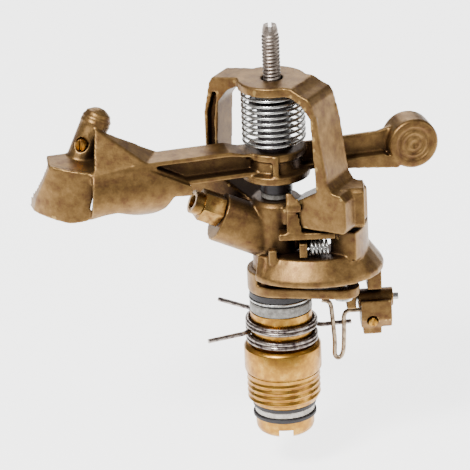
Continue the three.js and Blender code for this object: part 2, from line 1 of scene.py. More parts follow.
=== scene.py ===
"""The visual model of a part-circle impact sprinkler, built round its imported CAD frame.

Castings are rounded copies of their CAD nodes. Turned parts, wires and springs are made anew.
Lengths in the settings are millimetres, as on a drawing, and every mesh is in metres.
"""
import json
import math

import bmesh
import bpy
from mathutils import Matrix, Vector


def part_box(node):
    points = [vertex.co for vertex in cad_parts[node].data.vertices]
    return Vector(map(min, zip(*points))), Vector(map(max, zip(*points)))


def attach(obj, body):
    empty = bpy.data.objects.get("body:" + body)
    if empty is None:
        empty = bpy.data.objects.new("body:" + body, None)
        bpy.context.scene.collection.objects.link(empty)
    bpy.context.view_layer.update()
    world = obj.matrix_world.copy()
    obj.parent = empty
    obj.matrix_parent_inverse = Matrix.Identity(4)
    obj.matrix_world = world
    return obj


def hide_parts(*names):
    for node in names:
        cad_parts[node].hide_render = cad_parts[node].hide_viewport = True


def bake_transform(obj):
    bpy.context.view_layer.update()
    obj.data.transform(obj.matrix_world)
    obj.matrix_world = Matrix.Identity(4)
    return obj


bl_info = {
    "name": "Impact Sprinkler",
    "version": (1, 0, 0),
    "blender": (4, 5, 0),
    "location": "View3D > Sidebar > Sprinkler",
    "description": "Builds a brass part-circle impact sprinkler piece by piece",
    "category": "Add Mesh",
}

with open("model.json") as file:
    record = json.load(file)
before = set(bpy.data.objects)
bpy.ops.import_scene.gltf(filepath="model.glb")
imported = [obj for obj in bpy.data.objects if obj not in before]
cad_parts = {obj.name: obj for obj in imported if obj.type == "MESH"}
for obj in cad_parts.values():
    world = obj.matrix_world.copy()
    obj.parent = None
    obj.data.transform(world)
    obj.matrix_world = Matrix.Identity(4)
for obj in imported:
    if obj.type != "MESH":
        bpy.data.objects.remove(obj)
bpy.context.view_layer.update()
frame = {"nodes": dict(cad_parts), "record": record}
MM = 0.001
FRONT = math.radians(-14)  # the trip mechanism is laid out square to this direction
NEAR_LEG = math.radians(-44)
TRIP = math.radians(-11)

# Measures of the frame that a node's box doesn't give, in millimetres.
TRIP_HEIGHT = 38.8
COLLAR_RADIUS = 9.72
COLLAR_PITCH = 1.24
BEARING_COIL_RADIUS = 7.2
BEARING_WIRE = 0.84
ARM_COIL_ENDS = (88.4, 103.4)
WEIGHT_RADIUS = 7.3
WEIGHT_HEIGHT = 83.4
WEIGHT_FACE = 4.15
BOSS_HEAD = Vector((-48.9, 9.8, 97.3))
BOSS_AXIS = Vector((5.7, 1.4, 11.3)).normalized()
BOSS_RADIUS = 4.2
TRIP_COIL = {"radius": 2.0, "start": 8.6, "end": 13.9, "turns": 5, "toward": 11.3, "height": 60, "wire": 0.64}


# ---- measures taken from the frame ------------------------------------------------------------

def span(node):
    """A node's lowest and highest corner in millimetres."""
    low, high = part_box(node)
    return [v / MM for v in low], [v / MM for v in high]


def heights(node):
    low, high = span(node)
    return low[2], high[2]


def radius_of(node):
    """Half a turned node's width, in millimetres."""
    low, high = span(node)
    return (high[0] - low[0]) / 2


def polar(azimuth, radius, z=0.0):
    """A point at an azimuth in radians, with its radius and height in millimetres."""
    return Vector((radius * math.cos(azimuth), radius * math.sin(azimuth), z))


# ---- settings ---------------------------------------------------------------------------------

def length_property(name, default, description):
    return bpy.props.FloatProperty(name=name, default=default, min=0.01, description=description)


def colour_property(name, default, description):
    return bpy.props.StringProperty(name=name, default=default, description=description)


class SprinklerSizes(bpy.types.PropertyGroup):
    """Sizes that the pieces share, in millimetres."""

    cast_grain: length_property("Cast grain", 0.34, "Mesh spacing of the cast pieces, in millimetres")
    cast_rounding: bpy.props.IntProperty(
        name="Cast rounding", default=7, min=0, max=40, description="Smoothing passes over a casting's edges"
    )
    pipe_pitch: length_property("Pipe thread pitch", 1.814, "14 threads per inch, in millimetres")
    pin_pitch: length_property("Pin thread pitch", 1.05, "Pitch of the fulcrum pin's thread, in millimetres")
    arm_wire: length_property("Arm spring wire", 0.84, "Wire diameter of the arm's torsion spring, in millimetres")
    arm_turns: length_property("Arm spring turns", 8.8, "Turns in the arm's torsion spring")


class SprinklerColours(bpy.types.PropertyGroup):
    """Colours of the finishes and of the castings' painted shade, as sRGB hex values."""

    cast: colour_property("Cast brass", "#7d5f36", "Tumbled sand-cast brass on its high faces")
    # Painted shade: this dark colour is mixed into the castings' hollows by an ambient occlusion mask.
    cast_painted_shade: colour_property("Cast brass, dulled", "#2b1a10", "Oxidised brass in the hollows")
    turned: colour_property("Turned brass", "#a1742f", "Machined brass")
    steel: colour_property("Spring steel", "#c9c9c6", "Bright drawn stainless wire")
    dark_wire: colour_property("Dark wire", "#9a9088", "Oiled drawn wire")
    rubber: colour_property("Rubber", "#231f22", "Moulded black rubber")
    grey_plastic: colour_property("Grey plastic", "#8d8a84", "Moulded grey bearing plastic")
    white_plastic: colour_property("White plastic", "#cfc8bd", "Moulded white bearing plastic")
    dark_plastic: colour_property("Dark plastic", "#2c2327", "Moulded dark bushing plastic")


def sizes():
    return bpy.context.scene.sprinkler_sizes


def colours():
    return bpy.context.scene.sprinkler_colours


# ---- materials --------------------------------------------------------------------------------

def linear(hex_colour):
    """An sRGB hex value as a linear RGBA tuple."""
    values = [int(hex_colour[i:i + 2], 16) / 255 for i in (1, 3, 5)]
    return (*[v / 12.92 if v <= 0.04045 else ((v + 0.055) / 1.055) ** 2.4 for v in values], 1.0)


def add(tree, kind, links=None, **settings):
    """Adds a node. Settings name its attributes or its input sockets, and links map an input to an output."""
    node = tree.nodes.new(kind)
    for name, value in settings.items():
        if hasattr(node, name):
            setattr(node, name, value)
        else:
            node.inputs[name.replace("_", " ")].default_value = value
    for name, output in (links or {}).items():
        tree.links.new(output, node.inputs[name])
    return node


def start_material(name):
    """A new node material with only its output, and a shader to fill in."""
    material = bpy.data.materials.new(name)
    material.use_nodes = True
    tree = material.node_tree
    tree.nodes.clear()
    shader = add(tree, "ShaderNodeBsdfPrincipled")
    output = add(tree, "ShaderNodeOutputMaterial", {"Surface": shader.outputs["BSDF"]})
    output.location = (300, 0)
    return material, tree, shader


def pattern_space(tree, scale=(1, 1, 1)):
    """Object coordinates in millimetres, stretched by scale."""
    place = add(tree, "ShaderNodeTexCoord")
    turn = add(tree, "ShaderNodeMapping", {"Vector": place.outputs["Object"]})
    turn.inputs["Scale"].default_value = [s / MM for s in scale]
    return turn.outputs["Vector"]


def ramp(tree, factor, stops):
    """A colour ramp over a factor, with stops of (position, linear colour)."""
    node = add(tree, "ShaderNodeValToRGB", {"Fac": factor})
    elements = node.color_ramp.elements
    while len(elements) < len(stops):
        elements.new(0.5)
    for element, (position, colour) in zip(elements, stops):
        element.position = position
        element.color = colour
    return node.outputs["Color"]


def grey(value):
    return (value, value, value, 1.0)


def cast_brass():
    """Sand-cast brass, tumbled: a fine orange-peel skin, worn bright on edges with a painted highlight, and painted
    shade in the hollows.
    """
    c = colours()
    material, tree, shader = start_material("tumbled_cast_brass")
    space = pattern_space(tree)
    # Sand grains of about 0.5 mm leave the skin; the stains are a few millimetres across.
    grains = add(tree, "ShaderNodeTexNoise", {"Vector": space}, Scale=2.6, Detail=3.0, Roughness=0.6)
    stains = add(tree, "ShaderNodeTexNoise", {"Vector": space}, Scale=0.3, Detail=4.0, Roughness=0.65)
    tone = ramp(tree, stains.outputs["Fac"], [(0.3, linear("#62432a")), (0.5, linear(c.cast)),
                                              (0.72, linear("#947346"))])
    speckle = ramp(tree, grains.outputs["Fac"], [(0.3, grey(0.78)), (0.62, grey(1.0))])
    skin = add(tree, "ShaderNodeMix", data_type="RGBA", blend_type="MULTIPLY")
    skin.inputs["Factor"].default_value = 0.8
    tree.links.new(tone, skin.inputs["A"])
    tree.links.new(speckle, skin.inputs["B"])
    # Painted shade: an ambient occlusion mask darkens the hollows toward the dark colour. Edges are rubbed bright by
    # the tumbling and carry a painted highlight.
    hollow = add(tree, "ShaderNodeAmbientOcclusion", samples=4, Distance=14 * MM)
    depth = ramp(tree, hollow.outputs["AO"], [(0.36, grey(0.0)), (0.86, grey(1.0))])
    shaded_hollows = add(tree, "ShaderNodeMix", {"Factor": depth}, data_type="RGBA")
    shaded_hollows.inputs["A"].default_value = linear(c.cast_painted_shade)
    tree.links.new(skin.outputs["Result"], shaded_hollows.inputs["B"])
    # Partly real wear and partly painted highlight: convex edges found by pointiness are mixed toward pale gold.
    edge = add(tree, "ShaderNodeNewGeometry")
    rubbed_and_highlit = ramp(tree, edge.outputs["Pointiness"], [(0.52, grey(0.0)), (0.6, grey(0.55))])
    bright = add(tree, "ShaderNodeMix", {"Factor": rubbed_and_highlit}, data_type="RGBA")
    tree.links.new(shaded_hollows.outputs["Result"], bright.inputs["A"])
    bright.inputs["B"].default_value = linear("#c2a064")
    tree.links.new(bright.outputs["Result"], shader.inputs["Base Color"])
    rough = ramp(tree, grains.outputs["Fac"], [(0.25, grey(0.34)), (0.8, grey(0.54))])
    tree.links.new(rough, shader.inputs["Roughness"])
    shader.inputs["Metallic"].default_value = 0.86
    bump = add(tree, "ShaderNodeBump", {"Height": grains.outputs["Fac"]}, Strength=0.45, Distance=0.07 * MM)
    tree.links.new(bump.outputs["Normal"], shader.inputs["Normal"])
    return material


def turned_brass(name="turned_brass", colour=None, shade="#8a6130", light="#bb9247"):
    """Machined brass: golden, with the fine rings that a lathe tool leaves, and a little handling tarnish."""
    colour = colour or colours().turned
    material, tree, shader = start_material(name)
    # Feed marks are about 0.1 mm apart; drawn at 0.35 mm so that they show.
    rings = add(tree, "ShaderNodeTexNoise", {"Vector": pattern_space(tree, (0.04, 0.04, 1))}, Scale=2.9, Detail=2.0)
    tarnish = add(tree, "ShaderNodeTexNoise", {"Vector": pattern_space(tree)}, Scale=0.45, Detail=4.0, Roughness=0.6)
    tone = ramp(tree, tarnish.outputs["Fac"], [(0.3, linear(shade)), (0.5, linear(colour)),
                                               (0.75, linear(light))])
    tree.links.new(tone, shader.inputs["Base Color"])
    rough = ramp(tree, tarnish.outputs["Fac"], [(0.3, grey(0.4)), (0.7, grey(0.24))])
    tree.links.new(rough, shader.inputs["Roughness"])
    shader.inputs["Metallic"].default_value = 1.0
    shader.inputs["Anisotropic"].default_value = 0.4
    bump = add(tree, "ShaderNodeBump", {"Height": rings.outputs["Fac"]}, Strength=0.35, Distance=0.04 * MM)
    tree.links.new(bump.outputs["Normal"], shader.inputs["Normal"])
    return material


def wire_metal(name, colour, shade, roughness):
    """Drawn wire: die lines too fine to see one by one, with patches of duller metal."""
    material, tree, shader = start_material(name)
    patches = add(tree, "ShaderNodeTexNoise", {"Vector": pattern_space(tree)}, Scale=0.8, Detail=3.0)
    tone = ramp(tree, patches.outputs["Fac"], [(0.35, linear(shade)), (0.6, linear(colour))])
    tree.links.new(tone, shader.inputs["Base Color"])
    rough = ramp(tree, patches.outputs["Fac"], [(0.3, grey(roughness + 0.14)), (0.7, grey(roughness))])
    tree.links.new(rough, shader.inputs["Roughness"])
    shader.inputs["Metallic"].default_value = 1.0
    fine = add(tree, "ShaderNodeTexNoise", {"Vector": pattern_space(tree)}, Scale=6.0, Detail=2.0)
    bump = add(tree, "ShaderNodeBump", {"Height": fine.outputs["Fac"]}, Strength=0.2, Distance=0.02 * MM)
    tree.links.new(bump.outputs["Normal"], shader.inputs["Normal"])
    return material


def moulding(name, colour, shade, roughness, ior, coat=0.0):
    """A moulded washer or bush: even colour with dust in it, and a faint mould grain."""
    material, tree, shader = start_material(name)
    dust = add(tree, "ShaderNodeTexNoise", {"Vector": pattern_space(tree)}, Scale=0.9, Detail=4.0, Roughness=0.7)
    tone = ramp(tree, dust.outputs["Fac"], [(0.38, linear(shade)), (0.66, linear(colour))])
    tree.links.new(tone, shader.inputs["Base Color"])
    shader.inputs["Roughness"].default_value = roughness
    shader.inputs["IOR"].default_value = ior
    shader.inputs["Coat Weight"].default_value = coat
    fine = add(tree, "ShaderNodeTexNoise", {"Vector": pattern_space(tree)}, Scale=3.4, Detail=2.0)
    bump = add(tree, "ShaderNodeBump", {"Height": fine.outputs["Fac"]}, Strength=0.25, Distance=0.05 * MM)
    tree.links.new(bump.outputs["Normal"], shader.inputs["Normal"])
    return material


def floor_paper():
    """Matt studio paper that glows, a painted light strongest behind the sprinkler. The glow dims toward the front,
    so that it leaves the undersides in shadow.
    """
    material, tree, shader = start_material("studio_paper")
    place = add(tree, "ShaderNodeTexCoord")
    turned = add(tree, "ShaderNodeMapping", {"Vector": place.outputs["Object"]})
    turned.inputs["Rotation"].default_value = (0, 0, -FRONT)
    depth = add(tree, "ShaderNodeSeparateXYZ", {"Vector": turned.outputs["Vector"]})
    glow = add(tree, "ShaderNodeMapRange", {"Value": depth.outputs["Y"]}, interpolation_type="SMOOTHSTEP")
    for name, value in (("From Min", -0.16), ("From Max", -0.02), ("To Min", 0.0), ("To Max", 3.2)):
        glow.inputs[name].default_value = value
    tree.links.new(glow.outputs["Result"], shader.inputs["Emission Strength"])
    shader.inputs["Base Color"].default_value = linear("#c9c8c6")
    shader.inputs["Roughness"].default_value = 0.9
    shader.inputs["Emission Color"].default_value = (1, 1, 1, 1)
    return material


FINISHES = {}


def finish_of(slot):
    """The material of a slot, made on its first use."""
    c = colours()
    makers = {
        "cast_brass": cast_brass,
        "turned_brass": turned_brass,
        "aged_brass": lambda: turned_brass("aged_turned_brass", "#8a6838", "#5a3c20", "#a08048"),
        "dull_steel": lambda: wire_metal("dull_machined_steel", "#968a80", "#6c625b", 0.38),
        "trip_wire": lambda: wire_metal("tinned_drawn_wire", "#a8957c", "#6d5b49", 0.3),
        "spring_steel": lambda: wire_metal("bright_drawn_steel", c.steel, "#8f8c88", 0.22),
        "dark_wire": lambda: wire_metal("oiled_drawn_wire", c.dark_wire, "#45393a", 0.24),
        "black_rubber": lambda: moulding("moulded_black_rubber", c.rubber, "#171416", 0.62, 1.52),
        "pale_plastic": lambda: moulding("moulded_grey_acetal", c.grey_plastic, "#5f5b55", 0.5, 1.48),
        "white_plastic": lambda: moulding("moulded_white_acetal", c.white_plastic, "#a39b90", 0.45, 1.48),
        "dark_plastic": lambda: moulding("moulded_dark_nylon", c.dark_plastic, "#1d171a", 0.42, 1.53, 0.1),
    }
    if slot not in FINISHES:
        FINISHES[slot] = makers[slot]()
    return FINISHES[slot]


# ---- mesh helpers -----------------------------------------------------------------------------

def new_object(name, mesh):
    obj = bpy.data.objects.new(name, mesh)
    bpy.context.scene.collection.objects.link(obj)
    return obj


def settle(obj):
    """Turns an object with live modifiers into a plain mesh at the origin."""
    bpy.context.view_layer.update()
    graph = bpy.context.evaluated_depsgraph_get()
    mesh = bpy.data.meshes.new_from_object(obj.evaluated_get(graph))
    obj.modifiers.clear()
    obj.data = mesh
    return obj


def give(obj, node, body, slot=None):
    """Dresses a finished piece, stands it for its CAD node, and lets it ride on its body."""
    record_slot = next(s["material_slot"] for s in frame["record"]["subparts"] if s["node"] == node)
    obj.data.materials.clear()
    obj.data.materials.append(finish_of(slot or record_slot))
    for polygon in obj.data.polygons:
        polygon.material_index = 0
    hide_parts(node)
    if body:
        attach(obj, body)
    return obj


def body_holding(node):
    bodies = frame["record"]["behaviour"]["bodies"]
    return next(body for body, nodes in bodies.items() if node in nodes)


def smooth_by_angle(mesh, degrees=38):
    """Shades a mesh smooth except across edges sharper than the angle."""
    mesh.shade_smooth()
    mesh.set_sharp_from_angle(angle=math.radians(degrees))


def turned_mesh(name, profile, sides=96):
    """A closed ring turned about Z from a closed outline of (radius, height) in millimetres."""
    bm = bmesh.new()
    rows = []
    for side in range(sides):
        angle = 2 * math.pi * side / sides
        rows.append([bm.verts.new(polar(angle, r, z) * MM) for r, z in profile])
    for side in range(sides):
        here, there = rows[side], rows[(side + 1) % sides]
        for i in range(len(profile)):
            j = (i + 1) % len(profile)
            bm.faces.new((here[i], there[i], there[j], here[j]))
    bmesh.ops.remove_doubles(bm, verts=bm.verts, dist=1e-7)
    bmesh.ops.recalc_face_normals(bm, faces=bm.faces)
    mesh = bpy.data.meshes.new(name)
    bm.to_mesh(mesh)
    bm.free()
    smooth_by_angle(mesh)
    return mesh


def eased(corners, bevel=0.15):
    """A closed outline with each corner cut back by the bevel."""
    eased_outline = []
    count = len(corners)
    for i, corner in enumerate(corners):
        here = Vector(corner)
        for other in (Vector(corners[i - 1]), Vector(corners[(i + 1) % count])):
            way = other - here
            reach = min(bevel, way.length * 0.4)
            eased_outline.append(tuple(here + way.normalized() * reach))
    return eased_outline


def threaded_mesh(name, bore, profile_at, low, high, pitch, depth, run_out, sides=72, steps=8):
    """A turned piece with a helical thread cut into its outside.

    profile_at gives the plain outer radius at a height, and run_out the heights between which the thread is full.
    """
    rows = max(8, int((high - low) / pitch * steps))
    bm = bmesh.new()
    grid = []
    for row in range(rows + 1):
        z = low + (high - low) * row / rows
        ring = []
        for side in range(sides):
            angle = 2 * math.pi * side / sides
            phase = (z / pitch - angle / (2 * math.pi)) % 1.0
            tooth = abs(2 * phase - 1)
            fade = min(1, max(0, (z - run_out[0]) / pitch)) * min(1, max(0, (run_out[1] - z) / pitch))
            ring.append(bm.verts.new(polar(angle, profile_at(z) - depth * tooth * fade, z) * MM))
        grid.append(ring)
    for row in range(rows):
        for side in range(sides):
            after = (side + 1) % sides
            bm.faces.new((grid[row][side], grid[row][after], grid[row + 1][after], grid[row + 1][side]))
    if bore:
        inner = [[bm.verts.new(polar(2 * math.pi * s / sides, bore, z) * MM) for s in range(sides)]
                 for z in (low, high)]
        for s in range(sides):
            after = (s + 1) % sides
            bm.faces.new((inner[0][after], inner[0][s], inner[1][s], inner[1][after]))
            bm.faces.new((grid[0][after], grid[0][s], inner[0][s], inner[0][after]))
            bm.faces.new((grid[-1][s], grid[-1][after], inner[1][after], inner[1][s]))
    else:
        bm.faces.new(list(reversed(grid[0])))
        bm.faces.new(grid[-1])
    bmesh.ops.recalc_face_normals(bm, faces=bm.faces)
    mesh = bpy.data.meshes.new(name)
    bm.to_mesh(mesh)
    bm.free()
    smooth_by_angle(mesh, 50)
    return mesh


def cut_with(obj, cutters):
    """Cuts closed meshes out of an object, then removes them."""
    made = []
    for mesh in cutters:
        cutter = new_object("cutter", mesh)
        made.append(cutter)
        modifier = obj.modifiers.new("cut", "BOOLEAN")
        modifier.operation = "DIFFERENCE"
        modifier.solver = "EXACT"
        modifier.object = cutter
    settle(obj)
    for cutter in made:
        bpy.data.objects.remove(cutter)
    return obj


def box_mesh(x, y, z, turn=None):
    """A closed box between pairs of millimetre limits, turned by a matrix."""
    bm = bmesh.new()
    bmesh.ops.create_cube(bm, size=1.0)
    centre = Vector([(a + b) / 2 * MM for a, b in (x, y, z)])
    scale = Matrix.Diagonal([(b - a) * MM for a, b in (x, y, z)] + [1.0])
    bm.transform((turn or Matrix.Identity(4)) @ Matrix.Translation(centre) @ scale)
    mesh = bpy.data.meshes.new("box")
    bm.to_mesh(mesh)
    bm.free()
    return mesh


def rod_mesh(start, end, radius, end_radius=None, sides=32):
    """A closed straight rod or cone between two millimetre points."""
    start, end = Vector(start) * MM, Vector(end) * MM
    bm = bmesh.new()
    bmesh.ops.create_cone(
        bm, cap_ends=True, segments=sides, radius1=radius * MM,
        radius2=(radius if end_radius is None else end_radius) * MM, depth=(end - start).length,
    )
    turn = (end - start).to_track_quat("Z", "Y").to_matrix().to_4x4()
    bm.transform(Matrix.Translation((start + end) / 2) @ turn)
    mesh = bpy.data.meshes.new("rod")
    bm.to_mesh(mesh)
    bm.free()
    return mesh


def ring_mesh(centre, axis, radius, thick, sides=48):
    """A closed torus round an axis, sizes in millimetres."""
    bm = bmesh.new()
    rings = []
    for side in range(sides):
        around = 2 * math.pi * side / sides
        out = Vector((math.cos(around), math.sin(around), 0))
        ring = []
        for k in range(8):
            angle = 2 * math.pi * k / 8
            ring.append(bm.verts.new((out * (radius + thick * math.cos(angle))
                                      + Vector((0, 0, thick * math.sin(angle)))) * MM))
        rings.append(ring)
    for side in range(sides):
        here, there = rings[side], rings[(side + 1) % sides]
        for k in range(8):
            bm.faces.new((here[k], there[k], there[(k + 1) % 8], here[(k + 1) % 8]))
    bmesh.ops.recalc_face_normals(bm, faces=bm.faces)
    turn = Vector(axis).to_track_quat("Z", "Y").to_matrix().to_4x4()
    bm.transform(Matrix.Translation(Vector(centre) * MM) @ turn)
    mesh = bpy.data.meshes.new("ring")
    bm.to_mesh(mesh)
    bm.free()
    return mesh


def cast_piece(name, node, extras=(), grain=None, rounding_passes=None):
    """A casting: the CAD node's shape with its added ribs, remeshed as one skin and rounded off."""
    s = sizes()
    bm = bmesh.new()
    bm.from_mesh(frame["nodes"][node].data)
    bmesh.ops.remove_doubles(bm, verts=bm.verts, dist=1e-6)
    for mesh in extras:
        bm.from_mesh(mesh)
    mesh = bpy.data.meshes.new(name)
    bm.to_mesh(mesh)
    bm.free()
    obj = new_object(name, mesh)
    remesh = obj.modifiers.new("skin", "REMESH")
    remesh.mode = "VOXEL"
    remesh.voxel_size = (grain or s.cast_grain) * MM
    rounding = obj.modifiers.new("rounding", "SMOOTH")
    rounding.factor = 0.5
    rounding.iterations = rounding_passes or s.cast_rounding
    settle(obj)
    obj.data.shade_smooth()
    return obj


# ---- geometry nodes: a drawn wire along a path ------------------------------------------------

def wire_tree():
    """Turns a path of edges into a round closed wire of a given diameter and material."""
    tree = bpy.data.node_groups.get("Drawn wire")
    if tree:
        return tree
    tree = bpy.data.node_groups.new("Drawn wire", "GeometryNodeTree")
    face = tree.interface
    face.new_socket("Path", in_out="INPUT", socket_type="NodeSocketGeometry")
    face.new_socket("Radius", in_out="INPUT", socket_type="NodeSocketFloat")
    face.new_socket("Sides", in_out="INPUT", socket_type="NodeSocketInt")
    face.new_socket("Finish", in_out="INPUT", socket_type="NodeSocketMaterial")
    face.new_socket("Wire", in_out="OUTPUT", socket_type="NodeSocketGeometry")
    given = add(tree, "NodeGroupInput")
    path = add(tree, "GeometryNodeMeshToCurve", {"Mesh": given.outputs["Path"]})
    section = add(tree, "GeometryNodeCurvePrimitiveCircle",
                  {"Radius": given.outputs["Radius"], "Resolution": given.outputs["Sides"]})
    swept = add(tree, "GeometryNodeCurveToMesh",
                {"Curve": path.outputs["Curve"], "Profile Curve": section.outputs["Curve"]}, Fill_Caps=True)
    real = add(tree, "GeometryNodeRealizeInstances", {"Geometry": swept.outputs["Mesh"]})
    dressed = add(tree, "GeometryNodeSetMaterial",
                  {"Geometry": real.outputs["Geometry"], "Material": given.outputs["Finish"]})
    add(tree, "NodeGroupOutput", {"Wire": dressed.outputs["Geometry"]})
    return tree


def set_input(modifier, name, value):
    """Sets a geometry nodes input by its socket's identifier."""
    sockets = modifier.node_group.interface.items_tree
    identifier = next(s.identifier for s in sockets if s.name == name and s.in_out == "INPUT")
    modifier[identifier] = value


def wire_piece(name, points, diameter, slot, sides=12):
    """A wire through millimetre points."""
    mesh = bpy.data.meshes.new(name)
    edges = [(i, i + 1) for i in range(len(points) - 1)]
    mesh.from_pydata([Vector(p) * MM for p in points], edges, [])
    obj = new_object(name, mesh)
    modifier = obj.modifiers.new("drawn wire", "NODES")
    modifier.node_group = wire_tree()
    set_input(modifier, "Radius", diameter / 2 * MM)
    set_input(modifier, "Sides", sides)
    set_input(modifier, "Finish", finish_of(slot))
    settle(obj)
    bm = bmesh.new()
    bm.from_mesh(obj.data)
    bmesh.ops.recalc_face_normals(bm, faces=bm.faces)
    bm.to_mesh(obj.data)
    bm.free()
    obj.data.shade_smooth()
    return obj


def smooth_path(points, steps=6):
    """A Catmull-Rom path through given points."""
    points = [Vector(p) for p in points]
    padded = [2 * points[0] - points[1], *points, 2 * points[-1] - points[-2]]
    path = []
    for i in range(1, len(padded) - 2):
        a, b, c, d = padded[i - 1:i + 3]
        for k in range(steps):
            t = k / steps
            path.append(0.5 * ((2 * b) + (c - a) * t + (2 * a - 5 * b + 4 * c - d) * t * t
                               + (3 * b - a - 3 * c + d) * t ** 3))
    path.append(points[-1])
    return path


def helix(radius, low, high, turns, start=0.0, steps=28):
    """Points of a helix about Z, from a start azimuth in radians."""
    count = int(abs(turns) * steps)
    return [polar(start + 2 * math.pi * turns * i / count, radius, low + (high - low) * i / count)
            for i in range(count + 1)]


# ---- operators --------------------------------------------------------------------------------

class SPRINKLER_OT_stage(bpy.types.Operator):
    """Adds the floor, the lights and the camera"""

    bl_idname = "sprinkler.stage"
    bl_label = "Stage"

    def execute(self, context):
        floor = new_object("studio_floor", paper_mesh())
        floor.data.materials.append(floor_paper())
        add_light("key_light", (-0.5, -0.5, 0.8), 0.25, 20.0)
        add_light("fill_light", (0.8, -0.7, 0.35), 0.5, 3.0)
        add_light("rim_light", (0.2, 0.9, 0.7), 0.6, 5.0)
        add_world()
        add_camera(context.scene)
        return {"FINISHED"}


def paper_mesh():
    """A wide sheet of glowing paper just below the sprinkler."""
    bm = bmesh.new()
    bmesh.ops.create_grid(bm, x_segments=1, y_segments=1, size=6.0)
    bmesh.ops.translate(bm, verts=bm.verts, vec=(0, 0, -0.012))
    bm.transform(Matrix.Rotation(FRONT, 4, "Z"))
    mesh = bpy.data.meshes.new("studio_floor")
    bm.to_mesh(mesh)
    bm.free()
    return mesh


def add_light(name, place, size, power):
    lamp = bpy.data.lights.new(name, "AREA")
    lamp.size = size
    lamp.energy = power
    obj = new_object(name, lamp)
    obj.location = place
    aim = Vector((0, 0, 0.065)) - Vector(place)
    obj.rotation_euler = aim.to_track_quat("-Z", "Y").to_euler()


def add_world():
    world = bpy.data.worlds.new("studio_world")
    world.use_nodes = True
    background = world.node_tree.nodes["Background"]
    background.inputs["Color"].default_value = (1, 1, 1, 1)
    background.inputs["Strength"].default_value = 0.22
    bpy.context.scene.world = world


VIEW = {"azimuth": -14, "elevation": 22, "roll": 2.5, "across": 133.1, "distance": 1400, "right": -12.2, "up": 55.9}


def add_camera(scene):
    """A long lens from the front, a little above, with a slight roll."""
    azimuth, elevation = math.radians(VIEW["azimuth"]), math.radians(VIEW["elevation"])
    right = Vector((math.cos(azimuth), math.sin(azimuth), 0))
    away = Vector((-math.sin(azimuth), math.cos(azimuth), 0))
    toward = -away * math.cos(elevation) + Vector((0, 0, math.sin(elevation)))
    target = right * VIEW["right"] + Vector((0, 0, VIEW["up"] / math.cos(elevation)))
    camera = bpy.data.cameras.new("front_camera")
    camera.sensor_width = 36
    camera.lens = 36 * VIEW["distance"] / VIEW["across"]
    camera.clip_end = 20
    obj = new_object("front_camera", camera)
    level = toward.to_track_quat("Z", "Y").to_matrix().to_4x4()
    roll = Matrix.Rotation(-math.radians(VIEW["roll"]), 4, "Z")
    obj.matrix_world = Matrix.Translation((target + toward * VIEW["distance"]) * MM) @ level @ roll
    scene.camera = obj


class SPRINKLER_OT_bearing(bpy.types.Operator):
    """Builds the threaded sleeve, the bearing tube and its washers"""

    bl_idname = "sprinkler.bearing"
    bl_label = "Bearing"

    def execute(self, context):
        self.sleeve()
        self.tube()
        for node in ("lower_rubber_washer", "sleeve_rubber_washer", "upper_friction_washer", "upper_rubber_seal",
                     "upper_steel_washer", "arm_lower_washer", "arm_upper_washer"):
            washer(node)
        washer("upper_bearing_washer", bevel=0.3)
        washer("lower_bearing_washer", slot="white_plastic", bevel=0.25)
        low, high = heights("bearing_spring")
        inset = BEARING_WIRE / 2
        path = helix(BEARING_COIL_RADIUS, low + inset, high - inset, 6)
        coil = wire_piece("bearing_spring_wire", path, BEARING_WIRE, "spring_steel")
        give(coil, "bearing_spring", "bearing")
        return {"FINISHED"}

    def sleeve(self):
        low, high = heights("bearing_sleeve")
        barrel_r = radius_of("bearing_sleeve")
        thread_r, thread_top = barrel_r - 0.5, low + 9.1
        barrel_top, neck_r, bore = low + 17.8, 8.8, 6.8

        def outside(z):
            if z < low + 1.4:
                return thread_r - 1.2 + 1.2 * (z - low) / 1.4
            return thread_r

        thread = threaded_mesh("sleeve_thread", bore, outside, low, thread_top, sizes().pipe_pitch, 0.48,
                               (low - 1, thread_top + 0.2), sides=96, steps=10)
        upper = turned_mesh("sleeve_body", eased([
            (bore, thread_top - 0.02), (thread_r - 0.2, thread_top - 0.02), (thread_r - 0.2, thread_top + 0.5),
            (barrel_r - 0.35, thread_top + 0.5), (barrel_r, thread_top + 0.9), (barrel_r, barrel_top - 0.9),
            (barrel_r - 0.9, barrel_top), (neck_r, barrel_top), (neck_r, high), (7.85, high), (7.85, low + 4.5),
            (bore + 0.01, low + 4.5)], 0.12))
        obj = new_object("bearing_sleeve_turned", thread)
        other = new_object("sleeve_upper", upper)
        join_into(obj, other)
        give(obj, "bearing_sleeve", "bearing")

    def tube(self):
        low, high = heights("bearing_tube")
        flange_r = radius_of("bearing_tube")
        outline = eased([(5.2, low), (flange_r - 1.5, low), (flange_r - 0.4, 0.9), (flange_r, 2.0), (flange_r, 4.9),
                         (6.5, 4.9), (6.5, high), (5.2, high)], 0.2)
        obj = new_object("bearing_tube_turned", turned_mesh("bearing_tube_turned", outline))
        slot = box_mesh((-2, 2), (-12, 12), (-1, 2.6), Matrix.Rotation(FRONT, 4, "Z"))
        cut_with(obj, [slot])
        smooth_by_angle(obj.data)
        give(obj, "bearing_tube", "head")


def join_into(obj, *others):
    """Adds other objects' meshes to an object's own and removes them."""
    bm = bmesh.new()
    bm.from_mesh(obj.data)
    for other in others:
        bm.from_mesh(other.data)
        bpy.data.objects.remove(other)
    bm.to_mesh(obj.data)
    bm.free()


def washer(node, slot=None, bevel=0.18):
    """A flat washer between its node's faces, with eased edges."""
    low, high = heights(node)
    inner = 2.9 if node.startswith("arm") else 6.8
    outer = radius_of(node)
    bevel = min(bevel, (high - low) * 0.3)
    outline = eased([(inner, low), (outer, low), (outer, high), (inner, high)], bevel)
    obj = new_object(node + "_ring", turned_mesh(node + "_ring", outline))
    give(obj, node, body_holding(node), slot)


